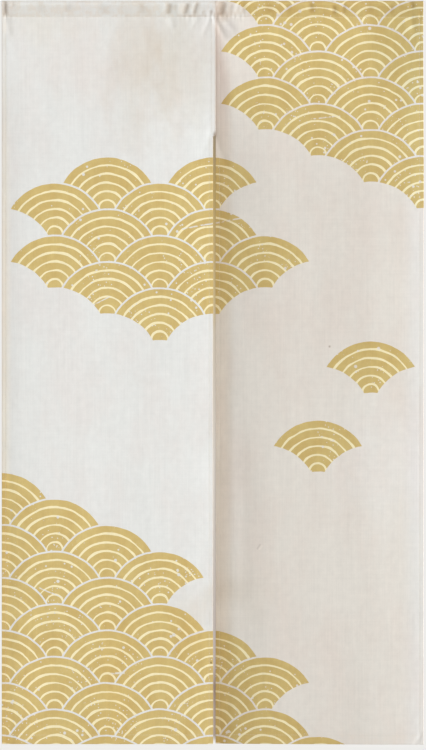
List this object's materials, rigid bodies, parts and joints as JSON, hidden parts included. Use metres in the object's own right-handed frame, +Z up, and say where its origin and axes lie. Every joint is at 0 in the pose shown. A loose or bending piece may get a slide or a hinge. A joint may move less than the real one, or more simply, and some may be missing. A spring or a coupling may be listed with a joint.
{
  "type": "noren curtain",
  "caption": "Long split doorway curtain of two printed cotton panels, seamed together above a centre slit and hung from a rod pocket along the top edge.",
  "frame": {"origin": "middle of the curtain's top edge; the seam between the two panels lies 6 mm to its right", "axes": "+Z up, +X to the right as seen from the printed face, which looks toward -Y"},
  "size_m": [0.85, 0.0408, 1.5],
  "materials": {
    "printed_cotton": "matte plain-weave cotton, off-white with an ochre and cream print",
    "pocket_cotton": "matte plain-weave cotton, the same cloth turned double",
    "sewing_thread": "matte off-white sewing thread"
  },
  "bodies": {
    "root": {"left_panel": "printed_cotton", "right_panel": "printed_cotton", "left_heading": "pocket_cotton", "right_heading": "pocket_cotton"}
  },
  "joints": []
}
